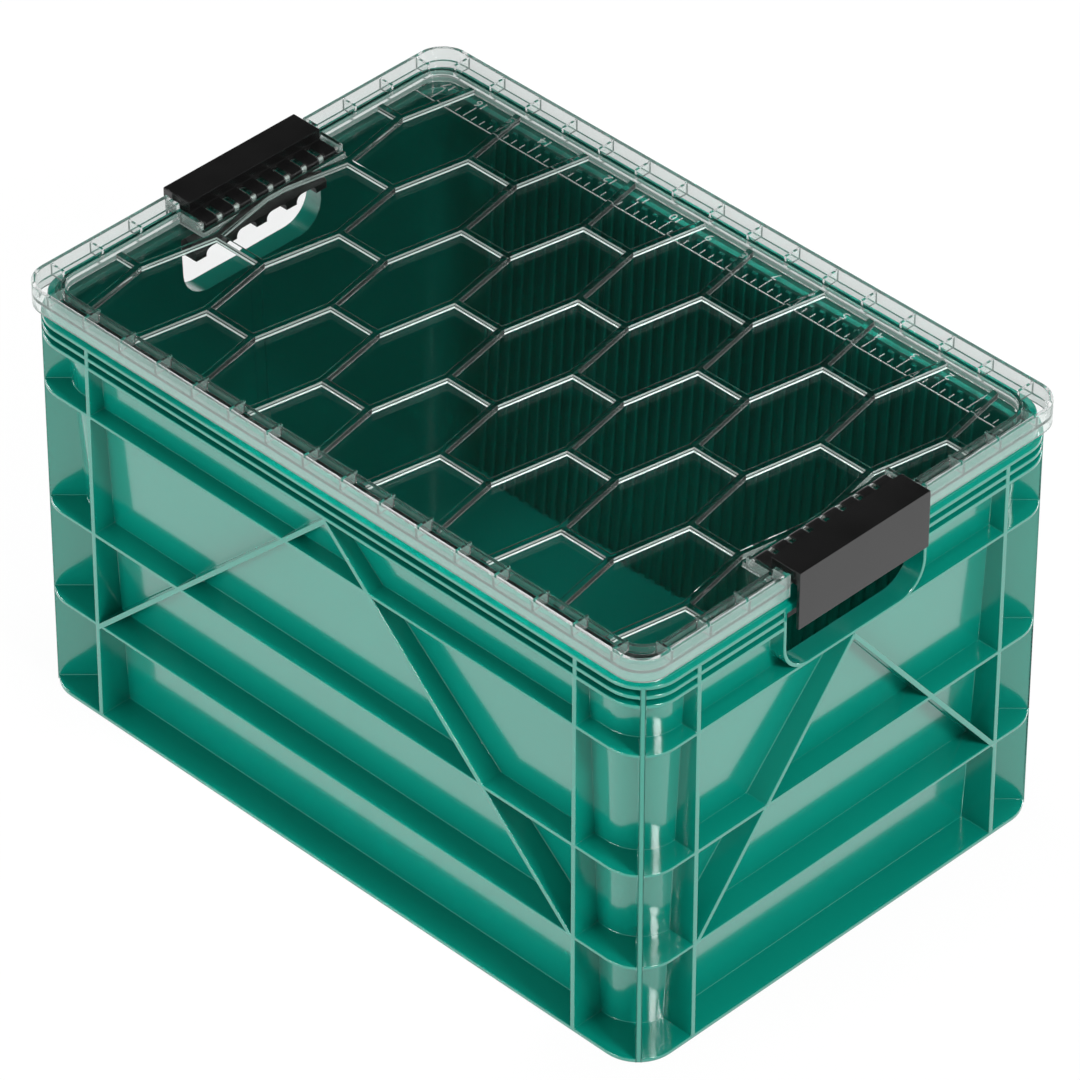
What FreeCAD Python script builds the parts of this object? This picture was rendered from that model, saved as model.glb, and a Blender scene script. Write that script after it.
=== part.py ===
"""Storage crate of moulded plastic with a clear lift-off lid, two end latches and two handle grips.

Millimetres, +Z up. The origin is on the floor under the middle of the crate, X along its length.
"""
import FreeCAD, Part
import os
import re

import Sketcher

FLUTES = 44
SIDE_WEB_BAYS = 15
END_WEB_BAYS = 3
HEX_COLUMNS = 5
HEX_ROWS = 6
HINGE_FINGERS = 7
FINGER_SCALLOPS = 4

# Every driving size of the crate, by the piece that carries it.
DRIVING_SIZES = {
    # The crate: over its ribs, and up to the top of its rim.
    "crate_length": 470.6,
    "crate_width": 318.3,
    "crate_height": 270.1,
    "crate_corner": 24.0,
    "base_rib_depth": 20.5,
    "top_rib_depth": 8.4,
    "crate_wall": 2.5,
    "wall_corner": 24.0,
    "base_flange": 2.6,
    "rib": 2.2,
    "low_rib_top": 67.5,
    "middle_rib_top": 131.4,
    "handle_rib_top": 212.7,
    "thin_rib": 2.5,
    "thin_rib_pitch": 6.25,
    "upright": 3.0,
    "side_upright_inset": 49.7,
    "end_upright_inset": 41.5,
    "brace": 3.0,
    "rim_height": 11.7,
    "rim_setback": 3.5,
    "rim_wall": 4.0,
    "floor_top": 11.0,
    "floor_plate": 2.5,
    "flute_width": 3.6,
    "flute_depth": 1.8,
    "flute_stop": 2.5,
    "groove_width": 8.0,
    "groove_depth": 0.8,
    "handle_length": 105.0,
    "handle_corner": 18.0,
    "handle_frame": 2.2,
    "handle_bar": 1.9,
    # The lid: a skirt, an open channel over the crate's rim, and a sunk panel with a raised lattice.
    "lid_end_overhang": 1.0,
    "lid_side_overhang": 2.35,
    "lid_corner": 17.6,
    "skirt": 2.4,
    "skirt_rise": 9.6,
    "skirt_drop": 5.1,
    "channel_floor": 2.0,
    "lid_play": 2.2,
    "plug_wall": 2.5,
    "plug_corner": 17.5,
    "plug_rise": 5.7,
    "lid_panel": 2.5,
    "panel_drop": 1.7,
    "lattice_rise": 3.0,
    "lattice_rib": 4.0,
    "lattice_edge": 35.8,
    "web": 1.6,
    "web_drop": 0.7,
    "web_inset": 22.9,
    # The latches and the pins that they swing on.
    "latch_length": 99.4,
    "latch_side_gap": 1.9,
    "latch_wall": 2.2,
    "latch_stand": 1.6,
    "latch_depth": 20.8,
    "flap_height": 37.3,
    "flap_gap": 2.3,
    "cheek": 2.4,
    "cap_gap": 0.5,
    "hinge_inset": 26.8,
    "hinge_rise": 3.5,
    "knuckle_radius": 2.6,
    "bay_gap": 0.6,
    "finger_pitch": 12.8,
    "finger_width": 3.4,
    "finger_gap": 0.3,
    "window_margin": 1.0,
    "pin_radius": 1.25,
    "pin_seat": 1.6,
    "pin_end_play": 0.2,
    "pin_hold": 0.02,
    "pin_running_fit": 0.08,
    # The grips under the handle bars.
    "grip_length": 99.6,
    "grip_reach": 8.8,
    "grip_lip": 10.0,
    "grip_lip_height": 5.1,
    "grip_height": 11.6,
    "grip_outer_rise": 5.6,
    "grip_outer_setback": 2.3,
    "tooth_width": 7.9,
    "scallop_depth": 5.1,
    "scallop_corner": 4.0,
    # One overrun for every cut that runs out into the air.
    "overrun": 5.0,
}

# Places that follow from the driving sizes.
TOP_RIB = "(crate_height - rim_height)"
LOW_THIN_RIB = f"({TOP_RIB} - 2 * thin_rib_pitch)"
UPRIGHT_X = "(crate_length / 2 - side_upright_inset)"
UPRIGHT_Y = "(crate_width / 2 - end_upright_inset)"
FLUTE_PITCH = f"(2 * {UPRIGHT_X} / {FLUTES})"
HANDLE_TOP = f"({TOP_RIB} - thin_rib - handle_bar)"
LID_X = "(crate_length / 2 + lid_end_overhang)"
LID_Y = "(crate_width / 2 + lid_side_overhang)"
SKIRT_BOTTOM = "(crate_height - skirt_drop)"
LID_TOP = "(crate_height + skirt_rise)"
CHANNEL_TOP = "(crate_height + channel_floor)"
PLUG_TOP = "(crate_height + plug_rise)"
PLUG_X = "(crate_length / 2 - rim_setback - rim_wall - lid_play)"
PLUG_Y = "(crate_width / 2 - rim_setback - rim_wall - lid_play)"
PANEL_X = f"({PLUG_X} - plug_wall)"
PANEL_Y = f"({PLUG_Y} - plug_wall)"
PANEL_TOP = "(crate_height - panel_drop)"
PANEL_BOTTOM = f"({PANEL_TOP} - lid_panel)"
HEX_PITCH = f"((2 * {PANEL_X} + lattice_rib) / {HEX_COLUMNS})"
HEX_ROW = f"((2 * {PANEL_Y} + lattice_rib) / {HEX_ROWS})"
BAY_Y = "(latch_length / 2 + latch_side_gap)"
PIN_X = f"({LID_X} - hinge_inset)"
PIN_Z = f"({PANEL_TOP} + hinge_rise)"
BAY_X = f"({PIN_X} - knuckle_radius - bay_gap)"
LATCH_TOP = f"({LID_TOP} + latch_stand)"
FLAP_X = f"({LID_X} + flap_gap + latch_wall)"
STEP_X = f"({FLAP_X} - latch_depth)"
PLATE_TOP = f"({PIN_Z} + knuckle_radius)"
WINDOW_X = f"({STEP_X} - window_margin)"
PIN_LENGTH = f"(2 * ({BAY_Y} + pin_seat))"

doc = FreeCAD.newDocument("StorageCrate")
sizes = doc.addObject("Spreadsheet::Sheet", "Sizes")
for row, (alias, number) in enumerate(DRIVING_SIZES.items(), start=1):
    sizes.set(f"A{row}", alias)
    sizes.set(f"B{row}", str(number))
    sizes.setAlias(f"B{row}", alias)
doc.recompute()


def value(formula):
    """The number that a formula of sheet names comes to."""
    return float(sizes.evalExpression(formula))


def bind(thing, setting, formula):
    """Ties one setting of a document object to a formula of sheet names."""
    names = re.sub(r"[a-z_]+", lambda m: f"Sizes.{m[0]}" if m[0] in DRIVING_SIZES else m[0], formula)
    thing.setExpression(setting, names)


def origin_feature(body, role):
    """A plane or axis of a body's own origin."""
    return next(item for item in body.Origin.OriginFeatures if item.Role == role)


def new_body(label):
    body = doc.addObject("PartDesign::Body", label)
    body.Label = label
    return body


def new_sketch(body, name, plane="XY_Plane", height="0"):
    """A sketch on one of the body's origin planes, raised along that plane's normal."""
    sketch = body.newObject("Sketcher::SketchObject", name)
    sketch.AttachmentSupport = [(origin_feature(body, plane), "")]
    sketch.MapMode = "FlatFace"
    bind(sketch, "AttachmentOffset.Base.z", height)
    return sketch


def dimension(sketch, kind, formula, *target):
    """A dimension of a sketch, tied to a formula."""
    number = sketch.addConstraint(Sketcher.Constraint(kind, *target, value(formula)))
    bind(sketch, f"Constraints[{number}]", formula)


def add_polygon(sketch, corners):
    """A closed outline of straight lines, each corner placed by two formulas."""
    points = [FreeCAD.Vector(value(x), value(y), 0) for x, y in corners]
    lines = [
        sketch.addGeometry(Part.LineSegment(start, end), False)
        for start, end in zip(points, points[1:] + points[:1])
    ]
    for line, following, (x, y) in zip(lines, lines[1:] + lines[:1], corners):
        sketch.addConstraint(Sketcher.Constraint("Coincident", line, 2, following, 1))
        dimension(sketch, "DistanceX", x, -1, 1, line, 1)
        dimension(sketch, "DistanceY", y, -1, 1, line, 1)


def add_rectangle(sketch, left, right, low, high, low_corner=None, high_corner=None):
    """An upright rectangle between four formulas, its low and high corners square or rounded."""
    bounds = [value(left), value(right), value(low), value(high)]
    places = [(bounds[0], bounds[2]), (bounds[1], bounds[2]), (bounds[1], bounds[3]), (bounds[0], bounds[3])]
    radii = [low_corner, low_corner, high_corner, high_corner]
    trims = [value(radius) if radius else 0 for radius in radii]
    points = [FreeCAD.Vector(x, y, 0) for x, y in places]
    along = [(points[(i + 1) % 4] - points[i]).normalize() for i in range(4)]
    lines = []
    for i in range(4):
        start = points[i] + along[i] * trims[i]
        end = points[(i + 1) % 4] - along[i] * trims[(i + 1) % 4]
        lines.append(sketch.addGeometry(Part.LineSegment(start, end), False))
    for i in range(4):
        sketch.addConstraint(Sketcher.Constraint("Vertical" if i % 2 else "Horizontal", lines[i]))
        before = lines[i - 1]
        if not radii[i]:
            sketch.addConstraint(Sketcher.Constraint("Coincident", before, 2, lines[i], 1))
            continue
        centre = points[i] + (along[i] - along[i - 1]) * trims[i]
        nearest = centre - (along[i] - along[i - 1]).normalize() * trims[i]
        bend = Part.Arc(points[i] - along[i - 1] * trims[i], nearest, points[i] + along[i] * trims[i])
        arc = sketch.addGeometry(bend, False)
        sketch.addConstraint(Sketcher.Constraint("Tangent", before, 2, arc, 1))
        sketch.addConstraint(Sketcher.Constraint("Tangent", arc, 2, lines[i], 1))
        dimension(sketch, "Radius", radii[i], arc)
    dimension(sketch, "DistanceY", low, -1, 1, lines[0], 1)
    dimension(sketch, "DistanceX", right, -1, 1, lines[1], 1)
    dimension(sketch, "DistanceY", high, -1, 1, lines[2], 1)
    dimension(sketch, "DistanceX", left, -1, 1, lines[3], 1)


def add_rounded(sketch, half_length, half_width, corner):
    """A rounded rectangle about the middle of the crate."""
    add_rectangle(
        sketch, f"-{half_length}", half_length, f"-{half_width}", half_width, corner, corner
    )


def add_circle(sketch, x, y, radius):
    centre = FreeCAD.Vector(value(x), value(y), 0)
    circle = sketch.addGeometry(Part.Circle(centre, FreeCAD.Vector(0, 0, 1), value(radius)), False)
    dimension(sketch, "DistanceX", x, -1, 1, circle, 3)
    dimension(sketch, "DistanceY", y, -1, 1, circle, 3)
    dimension(sketch, "Radius", radius, circle)


def extrude(body, kind, name, sketch, length=None, symmetric=False, upward_cut=False):
    """A pad or pocket of a sketch, as long as a formula or right through the body."""
    feature = body.newObject(f"PartDesign::{kind}", name)
    feature.Profile = sketch
    feature.SideType = "Symmetric" if symmetric else "One side"
    if length is None:
        feature.Type = "ThroughAll"
    else:
        bind(feature, "Length", length)
    feature.Reversed = upward_cut
    return feature


def loft(body, kind, name, low_sketch, high_sketch):
    """A straight-sided loft between two level sketches."""
    feature = body.newObject(f"PartDesign::{kind}", name)
    feature.Profile = low_sketch
    feature.Sections = [high_sketch]
    feature.Ruled = True
    return feature


def plate(body, name, height, thickness, half_length, half_width, corner):
    """A level rounded plate that starts at a height."""
    sketch = new_sketch(body, f"{name}_outline", height=height)
    add_rounded(sketch, half_length, half_width, corner)
    return extrude(body, "Pad", name, sketch, thickness)


def sink(body, name, height, depth, half_length, half_width, corner):
    """A level rounded hollow cut upwards from a height."""
    sketch = new_sketch(body, f"{name}_outline", height=height)
    add_rounded(sketch, half_length, half_width, corner)
    return extrude(body, "Pocket", name, sketch, depth, upward_cut=True)


def line_pattern(body, name, axis, length, count, originals):
    pattern = body.newObject("PartDesign::LinearPattern", name)
    pattern.Originals = originals
    pattern.Direction = (origin_feature(body, axis), [""])
    bind(pattern, "Length", length)
    pattern.Occurrences = count
    return pattern


def mirror(body, name, plane, originals):
    copy = body.newObject("PartDesign::Mirrored", name)
    copy.Originals = originals
    copy.MirrorPlane = (origin_feature(body, plane), [""])
    return copy


def pattern_steps(body, name, original, steps):
    """Repeats one feature by several patterns or mirrors, one after the other."""
    repeat = body.newObject("PartDesign::MultiTransform", name)
    repeat.Originals = [original]
    repeat.Transformations = steps
    body.Tip = repeat
    return repeat


def rib_depth_at(height):
    """How far the drafted wall stands back from the edge of the ribs at a height."""
    return f"(base_rib_depth + (top_rib_depth - base_rib_depth) * {height} / {TOP_RIB})"


def make_crate_outside():
    """The crate before it is hollowed: a drafted box with its ribs, braces, handle frames and rim."""
    body = new_body("crate_outside")
    half_length, half_width = "(crate_length / 2)", "(crate_width / 2)"

    # The drafted box starts solid, between its outline on the floor and the one under the rim.
    base = new_sketch(body, "wall_base")
    add_rounded(base, f"({half_length} - base_rib_depth)", f"({half_width} - base_rib_depth)", "wall_corner")
    top = new_sketch(body, "wall_top", height=TOP_RIB)
    add_rounded(top, f"({half_length} - top_rib_depth)", f"({half_width} - top_rib_depth)", "wall_corner")
    loft(body, "AdditiveLoft", "drafted_box", base, top)

    # Level ribs run right round it.
    plate(body, "base_flange", "0", "base_flange", half_length, half_width, "crate_corner")
    for name in ("low_rib", "middle_rib", "handle_rib"):
        plate(body, name, f"{name}_top - rib", "rib", half_length, half_width, "crate_corner")
    for number in range(3):
        height = f"{TOP_RIB} - {number} * thin_rib_pitch - thin_rib"
        plate(body, f"thin_rib_{number + 1}", height, "thin_rib", half_length, half_width, "crate_corner")

    # The rim stands on the topmost thin rib.
    rim_x, rim_y = f"({half_length} - rim_setback)", f"({half_width} - rim_setback)"
    plate(body, "rim", f"{TOP_RIB} - thin_rib", "rim_height + thin_rib", rim_x, rim_y,
          "(crate_corner - rim_setback)")

    # Upright ribs: a pair across each face, and one on each corner.
    across = new_sketch(body, "side_upright_places")
    along = new_sketch(body, "end_upright_places")
    for sign in ("-", ""):
        add_rectangle(across, f"{sign}{UPRIGHT_X} - upright / 2", f"{sign}{UPRIGHT_X} + upright / 2",
                      f"-{half_width}", half_width)
        add_rectangle(along, f"-{half_length}", half_length,
                      f"{sign}{UPRIGHT_Y} - upright / 2", f"{sign}{UPRIGHT_Y} + upright / 2")
    extrude(body, "Pad", "side_uprights", across, f"{TOP_RIB} - thin_rib / 2")
    extrude(body, "Pad", "end_uprights", along, f"{TOP_RIB} - thin_rib / 2")
    corners = new_sketch(body, "corner_upright_places")
    inner_x = f"({half_length} - crate_corner)"
    inner_y = f"({half_width} - crate_corner)"
    reach, spread = "crate_corner / sqrt(2)", "upright / sqrt(8)"
    for x_sign in ("-", ""):
        for y_sign in ("-", ""):
            shares = [(0, 1, -1), (1, 1, -1), (1, -1, 1), (0, -1, 1)]
            add_polygon(corners, [
                (f"{x_sign}({inner_x} + {out} * {reach} + {x_side} * {spread})",
                 f"{y_sign}({inner_y} + {out} * {reach} + {y_side} * {spread})")
                for out, x_side, y_side in shares
            ])
    extrude(body, "Pad", "corner_uprights", corners, f"{TOP_RIB} - thin_rib / 2")

    # Braces: an inverted V on each face, from its upright ribs to the middle of its top.
    for name, plane, foot, apex, span in (
        ("side_braces", "XZ_Plane", UPRIGHT_X, f"({LOW_THIN_RIB} - thin_rib / 2)", "crate_width"),
        ("end_braces", "YZ_Plane", UPRIGHT_Y, "(handle_rib_top - rib / 2)", "crate_length"),
    ):
        low = "(low_rib_top - rib / 2)"
        upright_thickness = f"(brace * sqrt(({apex} - {low}) ^ 2 + {foot} ^ 2) / {foot})"
        sketch = new_sketch(body, f"{name}_outline", plane)
        add_polygon(sketch, [
            (f"-{foot}", f"{low} - {upright_thickness}"),
            ("0", f"{apex} - {upright_thickness}"),
            (foot, f"{low} - {upright_thickness}"),
            (foot, low),
            ("0", apex),
            (f"-{foot}", low),
        ])
        extrude(body, "Pad", name, sketch, span, symmetric=True)

    # A frame round each handle stands out as far as the ribs.
    sketch = new_sketch(body, "handle_frame_outline", "YZ_Plane")
    frame_y = "(handle_length / 2 + handle_frame)"
    add_rectangle(sketch, f"-{frame_y}", frame_y, "handle_rib_top - rib", f"{TOP_RIB} - thin_rib / 2",
                  "(handle_corner + handle_frame)")
    extrude(body, "Pad", "handle_frames", sketch, "crate_length", symmetric=True)

    # The floor is raised, so the underside is hollow within the base flange.
    sink(body, "underside_recess", "0", "floor_top - floor_plate",
         f"({half_length} - base_rib_depth - crate_wall)", f"({half_width} - base_rib_depth - crate_wall)",
         "(wall_corner - crate_wall)")
    return body


def inner_face(half_size, height):
    """Where the drafted wall's inner face stands at a height."""
    return f"({half_size} - {rib_depth_at(height)} - crate_wall)"


def make_crate_inside():
    """The space in the crate: drafted and fluted, wider within the rim, and run out through the handles."""
    body = new_body("crate_inside")
    half_length, half_width = "(crate_length / 2)", "(crate_width / 2)"
    lines = []
    for name, height in (("hollow_base", "floor_top"), ("hollow_top", TOP_RIB)):
        line = new_sketch(body, name, height=height)
        add_rounded(line, inner_face(half_length, height), inner_face(half_width, height),
                    "(wall_corner - crate_wall)")
        lines.append(line)
    loft(body, "AdditiveLoft", "hollow", *lines)

    # The long walls keep a row of fine upright ribs, which lean with the draft.
    flute_top = f"({TOP_RIB} - flute_stop)"
    first = f"({FLUTE_PITCH} / 2 - {UPRIGHT_X})"
    flutes = []
    for side, sign in (("front", "-"), ("back", "")):
        lines = []
        for end, height in (("base", "floor_top"), ("top", flute_top)):
            line = new_sketch(body, f"{side}_flute_{end}", height=height)
            face = inner_face(half_width, height)
            add_polygon(line, [
                (f"{first} - flute_width / 2", f"{sign}({face} + crate_wall / 2)"),
                (f"{first} + flute_width / 2", f"{sign}({face} + crate_wall / 2)"),
                (f"{first} + flute_width / 2", f"{sign}({face} - flute_depth)"),
                (f"{first} - flute_width / 2", f"{sign}({face} - flute_depth)"),
            ])
            lines.append(line)
        flutes.append(loft(body, "SubtractiveLoft", f"{side}_flute", *lines))
    body.Tip = line_pattern(body, "flutes", "X_Axis", f"{FLUTE_PITCH} * {FLUTES - 1}", FLUTES, flutes)

    # A shallow groove runs down the middle of each end wall.
    lines = []
    for name, height in (("groove_base", "floor_top"), ("groove_top", "(handle_rib_top - rib)")):
        line = new_sketch(body, name, height=height)
        reach = f"({inner_face(half_length, height)} + groove_depth)"
        add_rectangle(line, f"-{reach}", reach, "-groove_width / 2", "groove_width / 2")
        lines.append(line)
    loft(body, "AdditiveLoft", "end_grooves", *lines)

    rim_inset = "(rim_setback + rim_wall)"
    plate(body, "rim_hollow", TOP_RIB, "rim_height + overrun", f"({half_length} - {rim_inset})",
          f"({half_width} - {rim_inset})", f"(crate_corner - {rim_inset})")
    sketch = new_sketch(body, "handle_hole_outline", "YZ_Plane")
    add_rectangle(sketch, "-handle_length / 2", "handle_length / 2", "handle_rib_top", HANDLE_TOP,
                  "handle_corner")
    extrude(body, "Pad", "handle_holes", sketch, "crate_length + 2 * overrun", symmetric=True)
    return body


def make_crate_body():
    """The crate: its outside less the space in it, as one moulding."""
    outside = make_crate_outside()
    inside = make_crate_inside()
    crate = doc.addObject("Part::Cut", "crate_body")
    crate.Base = outside
    crate.Tool = inside
    crate.Refine = True
    return crate


def make_lid():
    """The lid: one clear moulding that hangs over the rim and carries both latch hinges."""
    body = new_body("lid")

    # The panel starts as thick as its lattice is high, and the cells are sunk into it.
    plate(body, "panel", PANEL_BOTTOM, "lid_panel + lattice_rise", PLUG_X, PLUG_Y, "plug_corner")
    lean = f"({HEX_PITCH} / 2 - lattice_edge)"
    shift = f"(lattice_rib / 2 * sqrt({lean} ^ 2 + {HEX_ROW} ^ 2) / {HEX_ROW})"
    cell_y = f"({HEX_ROW} - lattice_rib / 2)"
    waist = f"(lattice_edge / 2 + {lean} - {shift})"
    shoulder = f"({waist} - {lean} * {cell_y} / {HEX_ROW})"
    cell = [(waist, "0"), (shoulder, cell_y), (f"-{shoulder}", cell_y),
            (f"-{waist}", "0"), (f"-{shoulder}", f"-{cell_y}"), (shoulder, f"-{cell_y}")]
    for name, columns, rows in (("cells", HEX_COLUMNS, HEX_ROWS // 2),
                                ("between_cells", HEX_COLUMNS + 1, HEX_ROWS // 2 + 1)):
        first_x = f"({HEX_PITCH} * {1 - columns} / 2)"
        first_y = f"({HEX_ROW} * {1 - rows})"
        sketch = new_sketch(body, f"{name}_outline", height=PANEL_TOP)
        add_polygon(sketch, [(f"{first_x} + {x}", f"{first_y} + {y}") for x, y in cell])
        first = extrude(body, "Pocket", f"first_of_{name}", sketch, "lattice_rise + overrun", upward_cut=True)
        pattern_steps(body, name, first, [
            line_pattern(body, f"{name}_along", "X_Axis", f"{HEX_PITCH} * {columns - 1}", columns, []),
            line_pattern(body, f"{name}_across", "Y_Axis", f"2 * {HEX_ROW} * {rows - 1}", rows, []),
        ])

    # A wall round the panel, the channel floor that rests on the crate's rim, and the skirt outside.
    for name, low, height, outer, inner in (
        ("plug_wall", PANEL_BOTTOM, f"{PLUG_TOP} - {PANEL_BOTTOM}",
         (PLUG_X, PLUG_Y, "plug_corner"), (PANEL_X, PANEL_Y, "(plug_corner - plug_wall)")),
        ("channel_floor", "crate_height", "channel_floor",
         (LID_X, LID_Y, "lid_corner"), (PANEL_X, PANEL_Y, "(plug_corner - plug_wall)")),
        ("skirt", SKIRT_BOTTOM, "skirt_drop + skirt_rise",
         (LID_X, LID_Y, "lid_corner"),
         (f"({LID_X} - skirt)", f"({LID_Y} - skirt)", "(lid_corner - skirt)")),
    ):
        sketch = new_sketch(body, f"{name}_outline", height=low)
        add_rounded(sketch, *outer)
        add_rounded(sketch, *inner)
        extrude(body, "Pad", name, sketch, height)

    # Webs cross the channel: a row along each side, and three beside each latch on the ends.
    web_height = f"{LID_TOP} - web_drop - {CHANNEL_TOP} + channel_floor / 2"
    web_base = f"{CHANNEL_TOP} - channel_floor / 2"
    last_x = f"({LID_X} - web_inset)"
    sketch = new_sketch(body, "side_web_places", height=web_base)
    add_rectangle(sketch, f"-{last_x} - web / 2", f"-{last_x} + web / 2",
                  f"{PLUG_Y} - plug_wall / 2", f"{LID_Y} - skirt / 2")
    add_rectangle(sketch, f"-{last_x} - web / 2", f"-{last_x} + web / 2",
                  f"-{LID_Y} + skirt / 2", f"-{PLUG_Y} + plug_wall / 2")
    first = extrude(body, "Pad", "first_side_webs", sketch, web_height)
    body.Tip = line_pattern(body, "side_webs", "X_Axis", f"2 * {last_x}", SIDE_WEB_BAYS + 1, [first])
    web_pitch = f"(({LID_Y} - web_inset - {BAY_Y} - cheek / 2) / {END_WEB_BAYS})"
    sketch = new_sketch(body, "end_web_places", height=web_base)
    for x_sign in (-1, 1):
        inner_x, outer_x = f"({PLUG_X} - plug_wall / 2)", f"({LID_X} - skirt / 2)"
        left, right = (inner_x, outer_x) if x_sign > 0 else (f"-{outer_x}", f"-{inner_x}")
        for number in range(END_WEB_BAYS):
            place = f"({LID_Y} - web_inset - {number} * {web_pitch})"
            for y_sign in ("-", ""):
                add_rectangle(sketch, left, right, f"{y_sign}{place} - web / 2", f"{y_sign}{place} + web / 2")
    extrude(body, "Pad", "end_webs", sketch, web_height)

    # A bay at each end lets the latch down to the panel, over the channel floor and past the skirt.
    sketch = new_sketch(body, "latch_bay_outline", "XZ_Plane")
    inside_skirt, outside = f"({LID_X} - skirt)", f"({LID_X} + overrun)"
    add_polygon(sketch, [
        (BAY_X, PANEL_TOP),
        (PANEL_X, PANEL_TOP),
        (PANEL_X, CHANNEL_TOP),
        (inside_skirt, CHANNEL_TOP),
        (inside_skirt, f"{SKIRT_BOTTOM} - overrun"),
        (outside, f"{SKIRT_BOTTOM} - overrun"),
        (outside, f"{LID_TOP} + overrun"),
        (BAY_X, f"{LID_TOP} + overrun"),
    ])
    bay = extrude(body, "Pocket", "latch_bay", sketch, f"2 * {BAY_Y}", symmetric=True)
    body.Tip = mirror(body, "latch_bays", "YZ_Plane", [bay])

    # Cheeks close the channel beside each bay and hold the ends of the hinge pin.
    cheeks = []
    for side, height in (("front", f"{BAY_Y}"), ("back", f"-{BAY_Y} - cheek")):
        sketch = new_sketch(body, f"{side}_cheek_outline", "XZ_Plane", height)
        add_polygon(sketch, [
            (BAY_X, PANEL_BOTTOM),
            (PLUG_X, PANEL_BOTTOM),
            (PLUG_X, "crate_height"),
            (LID_X, "crate_height"),
            (LID_X, f"{LID_TOP} - web_drop"),
            (PLUG_X, f"{LID_TOP} - web_drop"),
            (PLUG_X, PLUG_TOP),
            (BAY_X, PLUG_TOP),
        ])
        cheeks.append(extrude(body, "Pad", f"{side}_cheek", sketch, "cheek"))
    body.Tip = mirror(body, "cheeks", "YZ_Plane", cheeks)

    # A low rail on the panel joins the two cheeks of each bay.
    sketch = new_sketch(body, "bay_rail_outline", height=f"{PANEL_TOP} - lid_panel / 2")
    for left, right in ((f"{BAY_X} - cheek", BAY_X), (f"-{BAY_X}", f"-{BAY_X} + cheek")):
        add_rectangle(sketch, left, right, f"-{BAY_Y} - cheek", f"{BAY_Y} + cheek")
    extrude(body, "Pad", "bay_rails", sketch, "lattice_rise + lid_panel / 2")

    # Hinge fingers stand on the panel and fill the latch's windows.
    last_finger = (HINGE_FINGERS - 1) / 2
    finger_low_x = f"({PIN_X} - knuckle_radius + finger_gap)"
    finger_high_x = f"({WINDOW_X} - finger_gap)"
    sketch = new_sketch(body, "finger_outline", "XZ_Plane", f"{last_finger} * finger_pitch")
    add_rectangle(sketch, finger_low_x, finger_high_x, f"{PANEL_TOP} - lid_panel / 2",
                  f"{PLATE_TOP} - finger_gap", None, "(knuckle_radius - finger_gap)")
    finger = extrude(body, "Pad", "first_finger", sketch, "finger_width", symmetric=True)
    pattern_steps(body, "hinge_fingers", finger, [
        line_pattern(body, "fingers_across", "Y_Axis", f"{HINGE_FINGERS - 1} * finger_pitch",
                     HINGE_FINGERS, []),
        mirror(body, "fingers_at_both_ends", "YZ_Plane", []),
    ])
    sketch = new_sketch(body, "pin_hole_outline", "XZ_Plane")
    for sign in ("-", ""):
        add_circle(sketch, f"{sign}{PIN_X}", PIN_Z, "(pin_radius + pin_hold)")
    extrude(body, "Pocket", "pin_holes", sketch, f"{PIN_LENGTH} + 2 * pin_end_play", symmetric=True)
    return body


def turned_for(body, side):
    """The left pieces are the right ones turned half a turn about the crate's upright axis."""
    if side == "left":
        body.Placement = FreeCAD.Placement(FreeCAD.Vector(), FreeCAD.Rotation(FreeCAD.Vector(0, 0, 1), 180))
    return body


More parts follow.
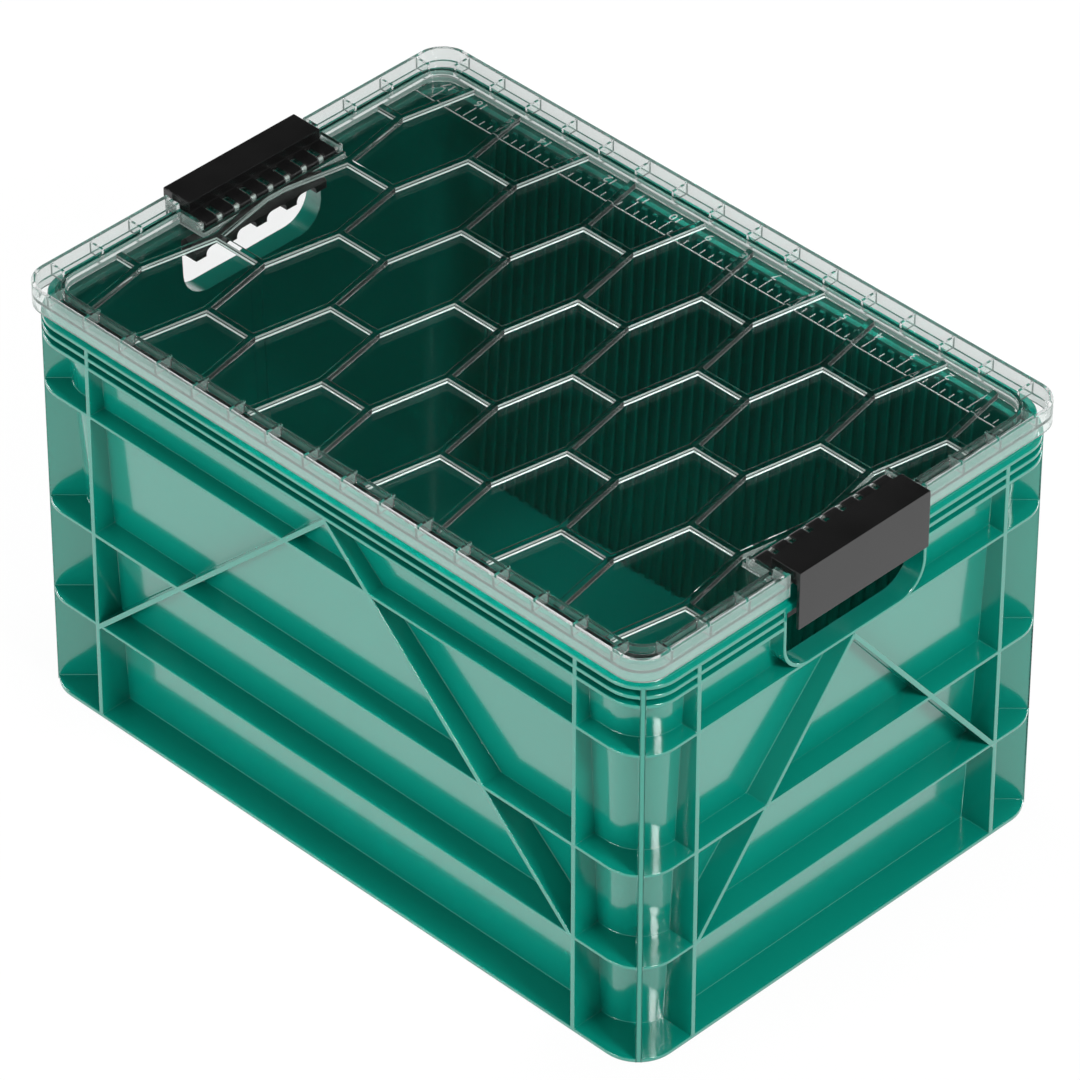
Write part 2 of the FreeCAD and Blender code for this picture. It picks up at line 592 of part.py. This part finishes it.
def make_latch(side):
    """A latch: knuckles on the pin, a stepped top, and a flap that hangs over the crate's end."""
    body = new_body(f"latch_{side}")
    sketch = new_sketch(body, f"latch_{side}_profile", "XZ_Plane")
    inner_flap, under_top = f"({FLAP_X} - latch_wall)", f"({LATCH_TOP} - latch_wall)"
    add_polygon(sketch, [
        (PIN_X, PLATE_TOP),
        (STEP_X, PLATE_TOP),
        (STEP_X, LATCH_TOP),
        (FLAP_X, LATCH_TOP),
        (FLAP_X, f"{LATCH_TOP} - flap_height"),
        (inner_flap, f"{LATCH_TOP} - flap_height"),
        (inner_flap, under_top),
        (f"{STEP_X} + latch_wall", under_top),
        (f"{STEP_X} + latch_wall", f"{PLATE_TOP} - latch_wall"),
        (PIN_X, f"{PLATE_TOP} - latch_wall"),
    ])
    extrude(body, "Pad", f"latch_{side}_shell", sketch, "latch_length", symmetric=True)
    sketch = new_sketch(body, f"latch_{side}_barrel_outline", "XZ_Plane")
    add_circle(sketch, PIN_X, PIN_Z, "knuckle_radius")
    extrude(body, "Pad", f"latch_{side}_barrel", sketch, "latch_length", symmetric=True)

    # Caps close the two ends under the top.
    for end, height in (("front", "latch_length / 2 - latch_wall"), ("back", "-latch_length / 2")):
        sketch = new_sketch(body, f"latch_{side}_{end}_cap_outline", "XZ_Plane", height)
        add_rectangle(sketch, STEP_X, FLAP_X, f"{CHANNEL_TOP} + cap_gap", LATCH_TOP)
        extrude(body, "Pad", f"latch_{side}_{end}_cap", sketch, "latch_wall")

    # Windows part the barrel into knuckles and leave room for the lid's fingers.
    sketch = new_sketch(body, f"latch_{side}_window_outline", height=PANEL_TOP)
    centre = f"(-{(HINGE_FINGERS - 1) / 2} * finger_pitch)"
    half = "(finger_width / 2 + finger_gap)"
    add_rectangle(sketch, f"{PIN_X} - knuckle_radius - overrun", WINDOW_X,
                  f"{centre} - {half}", f"{centre} + {half}")
    window = extrude(body, "Pocket", f"latch_{side}_first_window", sketch,
                     f"{PLATE_TOP} - {PANEL_TOP} + overrun", upward_cut=True)
    body.Tip = line_pattern(body, f"latch_{side}_windows", "Y_Axis", f"{HINGE_FINGERS - 1} * finger_pitch",
                            HINGE_FINGERS, [window])
    sketch = new_sketch(body, f"latch_{side}_bore_outline", "XZ_Plane")
    add_circle(sketch, PIN_X, PIN_Z, "(pin_radius + pin_running_fit)")
    extrude(body, "Pocket", f"latch_{side}_bore", sketch, symmetric=True)
    return turned_for(body, side)


def make_pin(side):
    """A plain steel rod through all the knuckles of one hinge."""
    body = new_body(f"hinge_pin_{side}")
    sketch = new_sketch(body, f"pin_{side}_outline", "XZ_Plane")
    add_circle(sketch, PIN_X, PIN_Z, "pin_radius")
    extrude(body, "Pad", f"pin_{side}_rod", sketch, PIN_LENGTH, symmetric=True)
    return turned_for(body, side)


def make_grip(side):
    """A rubber grip under one handle bar: a lip inside the crate, and scallops for four fingers below."""
    body = new_body(f"grip_{side}")
    sketch = new_sketch(body, f"grip_{side}_profile", "XZ_Plane")
    bottom = f"({HANDLE_TOP} - grip_height)"
    wall_x = f"(crate_length / 2 - {rib_depth_at(HANDLE_TOP)} - crate_wall)"
    inner_x = f"({wall_x} - grip_reach)"
    outer_x = "(crate_length / 2 - grip_outer_setback)"
    add_polygon(sketch, [
        (inner_x, bottom),
        (f"{inner_x} + grip_lip", bottom),
        (outer_x, f"{bottom} + grip_outer_rise"),
        (outer_x, HANDLE_TOP),
        (wall_x, HANDLE_TOP),
        (inner_x, f"{bottom} + grip_lip_height"),
    ])
    extrude(body, "Pad", f"grip_{side}_block", sketch, "grip_length", symmetric=True)
    sketch = new_sketch(body, f"grip_{side}_scallop_outline", "YZ_Plane")
    pitch = f"((grip_length - tooth_width) / {FINGER_SCALLOPS})"
    half = f"(({pitch} - tooth_width) / 2)"
    for number in range(FINGER_SCALLOPS):
        centre = f"({number - (FINGER_SCALLOPS - 1) / 2} * {pitch})"
        add_rectangle(sketch, f"{centre} - {half}", f"{centre} + {half}", f"{bottom} - overrun",
                      f"{bottom} + scallop_depth", None, "scallop_corner")
    extrude(body, "Pocket", f"grip_{side}_scallops", sketch, symmetric=True)
    return turned_for(body, side)


pieces = [make_crate_body(), make_lid()]
for side in ("left", "right"):
    pieces += [make_latch(side), make_pin(side), make_grip(side)]
doc.recompute()

for item in doc.Objects:
    if {"Invalid", "Error"} & set(item.State):
        raise RuntimeError(f"{item.Label} did not build: {item.State}")
for piece in pieces:
    if piece.Shape.isNull() or not piece.Shape.isValid() or len(piece.Shape.Solids) != 1:
        raise RuntimeError(f"{piece.Label} is not one sound solid")
os.makedirs("parts", exist_ok=True)
for piece in pieces:
    piece.Shape.exportStep(os.path.join("parts", f"{piece.Label}.step"))
    box = piece.Shape.BoundBox
    print(f"{piece.Label}: {box.XLength:.1f} x {box.YLength:.1f} x {box.ZLength:.1f} mm, "
          f"{piece.Shape.Volume / 1000:.1f} cm3")
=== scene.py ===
"""Looks of a storage crate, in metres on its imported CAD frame: a green moulded crate with rubber grips, a
clear lid with an inch scale, two steel hinge pins and two black latches, on a plain pale floor."""

import math

import bmesh
import bpy
from mathutils import Matrix, Vector


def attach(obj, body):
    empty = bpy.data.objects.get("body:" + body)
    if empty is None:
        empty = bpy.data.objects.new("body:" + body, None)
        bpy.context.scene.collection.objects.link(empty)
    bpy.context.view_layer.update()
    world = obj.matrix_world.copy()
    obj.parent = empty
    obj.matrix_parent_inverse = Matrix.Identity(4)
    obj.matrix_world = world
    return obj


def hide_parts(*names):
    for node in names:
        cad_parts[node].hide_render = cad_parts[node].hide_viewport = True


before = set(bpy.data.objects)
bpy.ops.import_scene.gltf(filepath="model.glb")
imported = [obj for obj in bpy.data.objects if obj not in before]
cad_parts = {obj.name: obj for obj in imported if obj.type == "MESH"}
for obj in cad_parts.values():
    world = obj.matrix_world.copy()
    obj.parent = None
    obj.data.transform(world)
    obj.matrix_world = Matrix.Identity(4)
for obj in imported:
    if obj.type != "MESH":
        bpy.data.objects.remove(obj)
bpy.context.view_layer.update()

# The crate is one injection moulding of green plastic: walls, ribs, braces, rim and floor come out of the
# mould together. A polished mould leaves it glossy, with faint clouds in the colour, slight ripples and
# softly rounded edges.


def merged_copy(node, name):
    """A copy of a CAD node as one closed mesh."""
    piece = bpy.data.objects.new(name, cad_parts[node].data.copy())
    bpy.context.scene.collection.objects.link(piece)
    bpy.ops.object.select_all(action="DESELECT")
    bpy.context.view_layer.objects.active = piece
    piece.select_set(True)
    bpy.ops.object.mode_set(mode="EDIT")
    bpy.ops.mesh.select_all(action="SELECT")
    bpy.ops.mesh.remove_doubles(threshold=0.000001)
    bpy.ops.object.mode_set(mode="OBJECT")
    return piece


def soften(piece, node, radius, body):
    """Rounds a piece's edges, and lets it stand for its node."""
    rounding = piece.modifiers.new("rounding", "BEVEL")
    rounding.width = radius
    rounding.segments = 2
    rounding.limit_method = "ANGLE"
    rounding.angle_limit = math.radians(35)
    rounding.use_clamp_overlap = False
    bpy.ops.object.modifier_apply(modifier="rounding")
    bpy.ops.object.shade_smooth_by_angle(angle=math.radians(40))
    flats = piece.modifiers.new("flats", "WEIGHTED_NORMAL")
    flats.keep_sharp = True
    bpy.ops.object.modifier_apply(modifier="flats")
    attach(piece, body)
    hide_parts(node)


class Shade:
    """One output of a finish's nodes: Python's operators on it add Math nodes."""

    def __init__(self, tree, socket=None):
        self.tree = tree
        self.socket = socket

    def node(self, kind, settings=None, values=None, output=0):
        """Adds a node, makes its settings, then fills its sockets with values or links."""
        made = self.tree.nodes.new(kind)
        for name, setting in (settings or {}).items():
            setattr(made, name, setting)
        for name, value in (values or {}).items():
            if isinstance(value, Shade):
                self.tree.links.new(value.socket, made.inputs[name])
            else:
                made.inputs[name].default_value = value
        return Shade(self.tree, made.outputs[output]) if made.outputs else made

    def __add__(self, other):
        return self.node("ShaderNodeMath", {"operation": "ADD"}, {0: self, 1: other})

    __radd__ = __add__

    def __mul__(self, other):
        return self.node("ShaderNodeMath", {"operation": "MULTIPLY"}, {0: self, 1: other})

    __rmul__ = __mul__

    def __sub__(self, other):
        return self.node("ShaderNodeMath", {"operation": "SUBTRACT"}, {0: self, 1: other})

    def __rsub__(self, other):
        return self.node("ShaderNodeMath", {"operation": "SUBTRACT"}, {0: other, 1: self})


def new_finish(name):
    """An empty material, and the start of its nodes."""
    finish = bpy.data.materials.new(name)
    finish.use_nodes = True
    finish.node_tree.nodes.clear()
    return finish, Shade(finish.node_tree)


def between(nodes, share, first, second):
    """A colour between two others, by a share."""
    colours = {0: share, 6: (*first, 1.0), 7: (*second, 1.0)}
    return nodes.node("ShaderNodeMix", {"data_type": "RGBA"}, colours, output=2)


def wear(piece, finish):
    """Gives a piece one finish all over."""
    piece.data.materials.clear()
    piece.data.materials.append(finish)


crate = merged_copy("crate_body", "crate_moulding")
soften(crate, "crate_body", radius=0.0005, body="crate")
green_gloss, nodes = new_finish("green_gloss")
spot = nodes.node("ShaderNodeTexCoord", output="Object")
cloud = nodes.node("ShaderNodeTexNoise", values={"Vector": spot, "Scale": 9.0, "Detail": 3.0})
ripple = nodes.node("ShaderNodeTexNoise", values={"Vector": spot, "Scale": 130.0, "Detail": 2.0})
green = between(nodes, cloud, (0.0006, 0.200, 0.146), (0.0016, 0.232, 0.172))
dents = nodes.node("ShaderNodeBump", values={"Strength": 0.06, "Distance": 0.0002, "Height": ripple})
surface = nodes.node("ShaderNodeBsdfPrincipled", values={
    "Base Color": green, "Roughness": 0.14 + 0.06 * ripple, "IOR": 1.5, "Coat Weight": 1.0,
    "Coat Roughness": 0.09, "Coat IOR": 1.6, "Normal": dents,
})
nodes.node("ShaderNodeOutputMaterial", values={"Surface": surface})
wear(crate, green_gloss)

# Each grip is a block of black rubber pressed under the handle bar, with scallops for four fingers.
# It is dull, with a fine pebbled skin.
black_rubber, nodes = new_finish("black_rubber")
spot = nodes.node("ShaderNodeTexCoord", output="Object")
pebble = nodes.node("ShaderNodeTexNoise", values={"Vector": spot, "Scale": 1400.0, "Detail": 2.0})
smudge = nodes.node("ShaderNodeTexNoise", values={"Vector": spot, "Scale": 60.0, "Detail": 3.0})
black = between(nodes, smudge, (0.006, 0.006, 0.006), (0.013, 0.012, 0.012))
skin = nodes.node("ShaderNodeBump", values={"Strength": 0.35, "Distance": 0.0002, "Height": pebble})
surface = nodes.node("ShaderNodeBsdfPrincipled", values={
    "Base Color": black, "Roughness": 0.42 + 0.12 * smudge, "Normal": skin,
})
nodes.node("ShaderNodeOutputMaterial", values={"Surface": surface})
for side in ("left", "right"):
    grip = merged_copy(f"grip_{side}", f"grip_{side}_rubber")
    soften(grip, f"grip_{side}", radius=0.0003, body="crate")
    wear(grip, black_rubber)

# The lid is one clear moulding: a skirt and an open channel with webs over the rim, and a sunk panel with a
# lattice. It is polished and colourless, so it bends what lies behind it, and lamps shine through it into the
# crate. Its lattice flanks, webs, fingers and skirt carry a painted highlight: a pale, slightly green
# plastic mixed into the clear one, which stands for the light that their edges catch.
panel_top, wall_top = 0.2684, 0.2762
foot_round, lid_slack = 0.0008, 0.00004
lid = merged_copy("lid", "lid_moulding")
bpy.ops.object.mode_set(mode="EDIT")
bpy.ops.mesh.select_all(action="SELECT")
bpy.ops.transform.shrink_fatten(value=-lid_slack)
bpy.ops.mesh.select_all(action="DESELECT")
bpy.ops.mesh.select_mode(type="EDGE")
shape = bmesh.from_edit_mesh(lid.data)
for edge in shape.edges:
    at_foot = all(abs(corner.co.z - panel_top) < 0.0001 for corner in edge.verts)
    edge.select_set(at_foot and not edge.is_convex and edge.calc_face_angle(0.0) > 1.0)
bmesh.update_edit_mesh(lid.data)
bpy.ops.mesh.bevel(offset=foot_round, segments=3)
bpy.ops.object.mode_set(mode="OBJECT")
soften(lid, "lid", radius=0.0003, body="lid")


def rays(nodes, *kinds):
    """Whether light travels on a ray of each of these kinds."""
    path = nodes.node("ShaderNodeLightPath").socket.node
    return [Shade(nodes.tree, path.outputs[f"Is {kind} Ray"]) for kind in kinds]


def clear_finish(name, passing, foot=0.0, gap=0.0, crown=0.0, tone=0.80, from_inside=0.3):
    """Clear polished plastic that passes a share of lamplight, and less of the light between the walls. Its
    painted highlight, a pale greenish plastic mixed in for the light that edges catch, has a share at the
    foot, in the gap over it and at the crown, and shows less from inside."""
    finish, nodes = new_finish(name)
    spot = nodes.node("ShaderNodeTexCoord", output="Object")
    haze = nodes.node("ShaderNodeTexNoise", values={"Vector": spot, "Scale": 25.0, "Detail": 4.0})
    surface = nodes.node("ShaderNodeBsdfPrincipled", values={
        "Base Color": (0.985, 0.995, 0.992, 1.0), "Roughness": 0.03 * haze, "IOR": 1.49,
        "Transmission Weight": 1.0,
    })
    if foot:
        rise = nodes.node("ShaderNodeSeparateXYZ", values={0: spot}, output="Z") - panel_top
        low = nodes.node("ShaderNodeMapRange", values={
            "Value": rise, "From Min": 0.0007, "From Max": 0.0010, "To Min": foot, "To Max": gap,
        })
        high = nodes.node("ShaderNodeMapRange", values={
            "Value": rise, "From Min": 0.0015, "From Max": 0.0018, "To Min": 0.0, "To Max": crown - gap,
        })
        # The painted highlight: pale plastic with a trace of green, as bright as the tone given.
        pale = nodes.node("ShaderNodeBsdfPrincipled", values={
            "Base Color": (0.80 * tone, tone, 0.93 * tone, 1.0), "Roughness": 0.2 + 0.1 * haze, "IOR": 1.49,
        })
        inside = nodes.node("ShaderNodeNewGeometry", output="Backfacing")
        # The painted highlight's share by height, smaller where a face is seen from inside.
        gleam = (low + high) * (1.0 - (1.0 - from_inside) * inside)
        surface = nodes.node("ShaderNodeMixShader", values={0: gleam, 1: surface, 2: pale})
    to_lamp, to_wall = rays(nodes, "Shadow", "Diffuse")
    for ray, share in ((to_wall, 0.45 * passing), (to_lamp, passing)):
        passed = nodes.node("ShaderNodeBsdfTransparent", values={"Color": (share, share, share, 1.0)})
        surface = nodes.node("ShaderNodeMixShader", values={0: ray, 1: surface, 2: passed})
    nodes.node("ShaderNodeOutputMaterial", values={"Surface": surface})
    return finish


def beyond(place, half_length, half_width, corner):
    """How far a place lies outside a rectangle with round corners."""
    over_x = max(abs(place.x) - half_length + corner, 0.0)
    over_y = max(abs(place.y) - half_width + corner, 0.0)
    return math.hypot(over_x, over_y) - corner


dimmed, undimmed = 0.48, 0.95
wear(lid, clear_finish("clear_panel", dimmed))
# Each finish but the panel's and the channel's mixes in the painted highlight at its own share.
for finish in (
    # The strong painted highlight, for lattice flanks turned towards the lamps.
    clear_finish("flank_painted_lit", dimmed, foot=0.75, gap=0.12, crown=0.42),
    clear_finish("web_painted_gleam", dimmed, foot=0.14, gap=0.14, crown=0.14),
    clear_finish("finger_painted_gleam", dimmed, foot=0.28, gap=0.28, crown=0.28),
    clear_finish("clear_channel", undimmed),
    clear_finish("skirt_painted_gleam", undimmed, foot=0.32, gap=0.32, crown=0.32, tone=0.5, from_inside=1.0),
    # A faint painted highlight, for lattice flanks turned away from the lamps: their painted shaded side.
    clear_finish("flank_painted_shaded", dimmed, foot=0.05, gap=0.03, crown=0.05),
):
    lid.data.materials.append(finish)
PAINTED_LIT_FLANK, WEB, FINGER, CHANNEL, SKIRT, EDGE = range(1, 7)
panel_outline, wall_depth, channel_skin = (0.2256, 0.14945, 0.0175), 0.0040, 0.0012
skirt_outline, skirt_skin = (0.2363, 0.1615, 0.0176), 0.0003
bay_start, bay_half_width = 0.199, 0.0546
end_channel, side_channel = 0.2260, 0.1498
last_side_web, last_end_web = 0.2186, 0.1438
lamps_x, lamps_y = 0.55, -0.83
for face in lid.data.polygons:
    across, along, facing = abs(face.center.x), abs(face.center.y), face.normal
    past_panel = beyond(face.center, *panel_outline)
    past_skirt = beyond(face.center, *skirt_outline)
    upright = abs(facing.z) < 0.85
    to_lamps = abs(lamps_x * facing.x + lamps_y * facing.y) > 0.5 * facing.xy.length
    in_bay = across > bay_start and along < bay_half_width
    side_web = along > side_channel and across < last_side_web and abs(facing.x) > 0.7
    end_web = across > end_channel and along < last_end_web and abs(facing.y) > 0.7
    if past_skirt > -skirt_skin:
        face.material_index = SKIRT
    elif upright and in_bay:
        face.material_index = FINGER
    elif upright and (side_web or end_web):
        face.material_index = WEB
    elif past_panel > -channel_skin:
        face.material_index = CHANNEL
    # Lattice flanks that face the lamps take the strong painted highlight, and the others (EDGE) a faint one:
    # painted lit and shaded sides.
    elif upright and panel_top - 0.0001 < face.center.z < wall_top:
        lattice = PAINTED_LIT_FLANK if to_lamps else EDGE
        face.material_index = FINGER if past_panel > -wall_depth else lattice

# An inch scale stands up from the lid's panel along one long edge, moulded with it: a base line, a long mark
# and a number for each inch, and three short marks between. It reads from that edge, from 1 to 17.
INCH = 0.0254
INCHES = 17
zero_x, line_y = 0.2205, 0.1260
mark_height, mark_width, sunk = 0.0005, 0.00038, 0.00005
line_half_length, line_half_width = 0.2228, 0.0003
mark_start, inch_end, quarter_end, number_middle = 0.0015, 0.0120, 0.0060, 0.0160
number_size, number_swell = 0.0085, -0.00002
marks = []


def raised_bar(name, low, high):
    """A low bar on the panel between two corners, with its top edges rounded."""
    middle = [(a + b) / 2 for a, b in zip(low, high)]
    bpy.ops.object.select_all(action="DESELECT")
    bpy.ops.mesh.primitive_cube_add(size=1.0, location=(*middle, panel_top + (mark_height - sunk) / 2))
    bar = bpy.context.object
    bar.name = name
    bar.scale = (high[0] - low[0], high[1] - low[1], mark_height + sunk)
    bpy.ops.object.transform_apply(location=True, rotation=True, scale=True)
    bpy.ops.object.mode_set(mode="EDIT")
    bpy.ops.mesh.select_all(action="DESELECT")
    bpy.ops.object.mode_set(mode="OBJECT")
    for edge in bar.data.edges:
        edge.select = all(bar.data.vertices[v].co.z > panel_top for v in edge.vertices)
    bpy.ops.object.mode_set(mode="EDIT")
    bpy.ops.mesh.select_mode(type="EDGE")
    bpy.ops.mesh.bevel(offset=mark_width / 5, segments=2)
    bpy.ops.object.mode_set(mode="OBJECT")
    marks.append(bar)
    return bar


def in_a_row(bar, count, step):
    """Repeats a bar along the scale."""
    bpy.ops.object.select_all(action="DESELECT")
    bpy.context.view_layer.objects.active = bar
    row = bar.modifiers.new("row", "ARRAY")
    row.count = count
    row.use_relative_offset = False
    row.use_constant_offset = True
    row.constant_offset_displace = (step, 0.0, 0.0)
    bpy.ops.object.modifier_apply(modifier="row")


def scale_mark(name, run, end):
    """A mark across the scale, at a run from its zero."""
    left, right = zero_x - run - mark_width / 2, zero_x - run + mark_width / 2
    return raised_bar(name, (left, line_y + mark_start), (right, line_y + end))


raised_bar(
    "base_line", (-line_half_length, line_y - line_half_width), (line_half_length, line_y + line_half_width)
)
inch_mark = scale_mark("inch_marks", INCH, inch_end)
in_a_row(inch_mark, INCHES, -INCH)
quarter = scale_mark("quarter_marks", INCH / 4, quarter_end)
in_a_row(quarter, 3, -INCH / 4)
in_a_row(quarter, INCHES, -INCH)
for number in range(1, INCHES + 1):
    bpy.ops.object.select_all(action="DESELECT")
    place = (zero_x - INCH * number, line_y + number_middle, panel_top - sunk)
    bpy.ops.object.text_add(location=place, rotation=(0, 0, math.pi))
    digits = bpy.context.object
    digits.data.body = str(number)
    digits.data.size = number_size
    digits.data.align_x = "CENTER"
    digits.data.align_y = "CENTER"
    digits.data.extrude = mark_height / 2
    digits.data.offset = number_swell
    digits.data.resolution_u = 3
    bpy.ops.object.convert(target="MESH")
    digits = bpy.context.object
    bpy.ops.object.transform_apply(location=True, rotation=True, scale=True)
    marks.append(digits)
bpy.ops.object.select_all(action="DESELECT")
for mark in marks:
    mark.select_set(True)
bpy.context.view_layer.objects.active = marks[0]
bpy.ops.object.join()
scale = bpy.context.object
scale.name = "inch_scale"
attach(scale, "lid")
clear_frost, nodes = new_finish("clear_frost")
spot = nodes.node("ShaderNodeTexCoord", output="Object")
frost = nodes.node("ShaderNodeTexNoise", values={"Vector": spot, "Scale": 900.0, "Detail": 2.0})
surface = nodes.node("ShaderNodeBsdfPrincipled", values={
    "Base Color": (0.44, 0.50, 0.48, 1.0), "Roughness": 0.25 + 0.15 * frost, "IOR": 1.49, "Alpha": 0.38,
})
nodes.node("ShaderNodeOutputMaterial", values={"Surface": surface})
wear(scale, clear_frost)

# A drawn steel rod goes through the lid's fingers and the latch's knuckles at each end, and is held by the
# lid's cheeks. Drawing leaves fine lines along it.
drawn_steel, nodes = new_finish("drawn_steel")
spot = nodes.node("ShaderNodeTexCoord", output="Object")
along = nodes.node("ShaderNodeMapping", values={"Vector": spot, "Scale": (4000.0, 60.0, 4000.0)})
lines = nodes.node("ShaderNodeTexNoise", values={"Vector": along, "Scale": 1.0, "Detail": 2.0})
steel = between(nodes, lines, (0.42, 0.42, 0.41), (0.62, 0.62, 0.60))
surface = nodes.node("ShaderNodeBsdfPrincipled", values={
    "Base Color": steel, "Metallic": 1.0, "Roughness": 0.22 + 0.2 * lines,
})
nodes.node("ShaderNodeOutputMaterial", values={"Surface": surface})
for side in ("left", "right"):
    pin = merged_copy(f"hinge_pin_{side}", f"hinge_pin_{side}_rod")
    soften(pin, f"hinge_pin_{side}", radius=0.0002, body="lid")
    wear(pin, drawn_steel)

# Each latch is a black moulding: knuckles round the pin, a stepped top and a flap that hangs over the crate's
# end. It is smooth, with a fine grain and a soft shine.
black_satin, nodes = new_finish("black_satin")
spot = nodes.node("ShaderNodeTexCoord", output="Object")
grain = nodes.node("ShaderNodeTexNoise", values={"Vector": spot, "Scale": 1800.0, "Detail": 2.0})
cloud = nodes.node("ShaderNodeTexNoise", values={"Vector": spot, "Scale": 40.0, "Detail": 3.0})
black = between(nodes, cloud, (0.0035, 0.0035, 0.0035), (0.0065, 0.0065, 0.0065))
fine = nodes.node("ShaderNodeBump", values={"Strength": 0.08, "Distance": 0.0001, "Height": grain})
surface = nodes.node("ShaderNodeBsdfPrincipled", values={
    "Base Color": black, "Roughness": 0.16 + 0.08 * cloud, "IOR": 1.5, "Coat Weight": 0.15,
    "Normal": fine,
})
nodes.node("ShaderNodeOutputMaterial", values={"Surface": surface})
for side in ("left", "right"):
    latch = merged_copy(f"latch_{side}", f"latch_{side}_arm")
    soften(latch, f"latch_{side}", radius=0.0005, body=f"latch_{side}")
    wear(latch, black_satin)

# The crate stands on a plain white studio floor, which stays white to the eye, in gloss and through the lid.
# It keeps a part of the soft shadow under the crate.
white_to_eye = 0.95
bpy.ops.object.select_all(action="DESELECT")
bpy.ops.mesh.primitive_plane_add(size=14.0, location=(0.0, 0.0, 0.0))
floor = bpy.context.object
floor.name = "studio_floor"
white_floor, nodes = new_finish("white_floor")
seen, mirrored, through = rays(nodes, "Camera", "Glossy", "Transmission")
paint = nodes.node("ShaderNodeBsdfDiffuse", values={"Color": (0.8, 0.8, 0.8, 1.0)})
shine = nodes.node("ShaderNodeEmission", values={"Color": (1.0, 1.0, 1.0, 1.0), "Strength": 1.0})
white = white_to_eye * seen + mirrored + through
surface = nodes.node("ShaderNodeMixShader", values={0: white, 1: paint, 2: shine})
nodes.node("ShaderNodeOutputMaterial", values={"Surface": surface})
wear(floor, white_floor)

# Soft light from a pale studio: lamps over the crate and over its ends, low ones before its sides, and a
# narrow one that shines down into it. The room is white along the horizon and dark overhead, so level faces
# stay clear of glare.
even_light = 0.55
world = bpy.data.worlds.new("studio")
bpy.context.scene.world = world
world.use_nodes = True
world.node_tree.nodes.clear()
nodes = Shade(world.node_tree)
seen, even = rays(nodes, "Camera", "Diffuse")
spot = nodes.node("ShaderNodeTexCoord", output="Generated")
height = nodes.node("ShaderNodeSeparateXYZ", values={0: spot}, output="Z")
room = nodes.node("ShaderNodeMapRange", {"interpolation_type": "SMOOTHSTEP"}, {
    "Value": height, "From Min": 0.12, "From Max": 0.5, "To Min": 1.0, "To Max": 0.015,
})
glow = nodes.node("ShaderNodeMix", values={0: seen, 2: room, 3: 1.0})
glow = nodes.node("ShaderNodeMix", values={0: even, 2: glow, 3: even_light})
sky = nodes.node("ShaderNodeBackground", values={"Color": (1.0, 1.0, 1.0, 1.0), "Strength": glow})
nodes.node("ShaderNodeOutputWorld", values={"Surface": sky})
for name, place, power, length, width, spread in (
    ("top_lamp", Vector((0.1, 0.0, 3.2)), 30.0, 0.8, 0.8, 180),
    ("right_lamp", Vector((2.2, -0.25, 1.9)), 50.0, 0.6, 0.6, 180),
    ("front_lamp", Vector((-0.4, -2.6, 0.5)), 30.0, 1.2, 0.3, 180),
    ("back_lamp", Vector((0.4, 2.6, 0.5)), 25.0, 1.2, 0.3, 180),
    ("left_lamp", Vector((-2.2, 0.25, 1.9)), 25.0, 0.6, 0.6, 180),
    ("inner_lamp", Vector((0.25, 0.0, 0.9)), 0.42, 0.44, 0.28, 8),
):
    bpy.ops.object.light_add(type="AREA", location=place)
    lamp = bpy.context.object
    lamp.name = name
    lamp.data.energy = power
    lamp.data.shape = "RECTANGLE"
    lamp.data.size = length
    lamp.data.size_y = width
    lamp.data.spread = math.radians(spread)
    lamp.visible_transmission = False
    lamp.rotation_euler = place.to_track_quat("Z", "Y").to_euler()

# The camera looks down on the corner between the front and the right end, from far off. Its angles, distance
# and lens were fitted to the photograph by the inch scale and the crate's corners.
turn, rise, roll = math.radians(44.844), math.radians(38.353), math.radians(0.122)
distance, aside, above, lift = 4.2913, 0.001922, 0.109955, 0.001
lens_in_sensors = 7.116
back = Vector((math.sin(turn) * math.cos(rise), -math.cos(turn) * math.cos(rise), math.sin(rise)))
level = Vector((math.cos(turn), math.sin(turn), 0.0))
upright = back.cross(level)
right = math.cos(roll) * level + math.sin(roll) * upright
up = math.cos(roll) * upright - math.sin(roll) * level
bpy.ops.object.camera_add()
camera = bpy.context.object
camera.location = back * distance + right * aside + up * above + Vector((0.0, 0.0, lift))
camera.rotation_euler = Matrix((right, up, back)).transposed().to_euler()
camera.data.sensor_width = 36.0
camera.data.lens = lens_in_sensors * camera.data.sensor_width
camera.data.clip_end = 100.0
bpy.context.scene.camera = camera
bpy.context.scene.view_settings.view_transform = "Standard"
